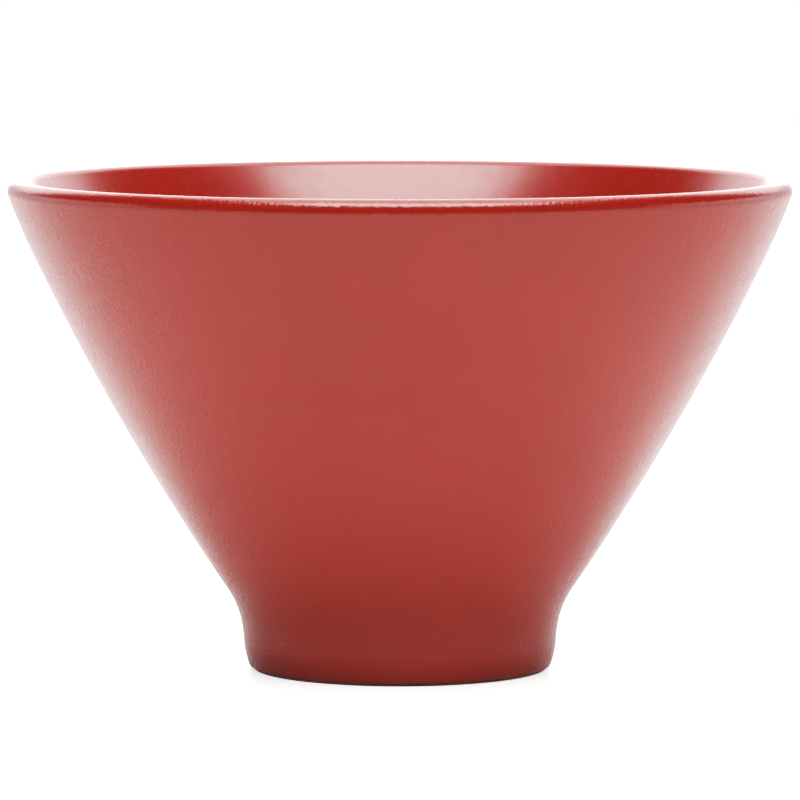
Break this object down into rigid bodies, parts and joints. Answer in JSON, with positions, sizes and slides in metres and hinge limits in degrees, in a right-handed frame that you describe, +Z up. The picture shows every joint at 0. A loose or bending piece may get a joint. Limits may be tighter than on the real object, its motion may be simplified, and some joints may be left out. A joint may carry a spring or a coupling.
{
  "type": "gongfu tea cup",
  "caption": "Flared tea cup on a low tapered foot, with a gently bowed wall and a full-round lip, in satin red glaze over pale fired clay with a bare foot ring; holds a small serving of tea.",
  "frame": {"origin": "centre of the foot ring's underside, on the surface that the cup stands on", "axes": "+Z up along the cup's axis; the cup is round, so X and Y are any two level directions, and the picture is taken from -Y"},
  "size_m": [0.0762, 0.0762, 0.0478],
  "materials": {
    "clay": "bare pale fired clay, matt",
    "outer_glaze": "satin red glaze with a fine orange peel",
    "inner_glaze": "satin red glaze, smoother than outside",
    "recess_glaze": "satin red glaze, thin and a little uneven"
  },
  "bodies": {
    "root": {"clay_body": "clay", "outer_glaze": "outer_glaze", "inner_glaze": "inner_glaze", "recess_glaze": "recess_glaze"}
  },
  "joints": []
}
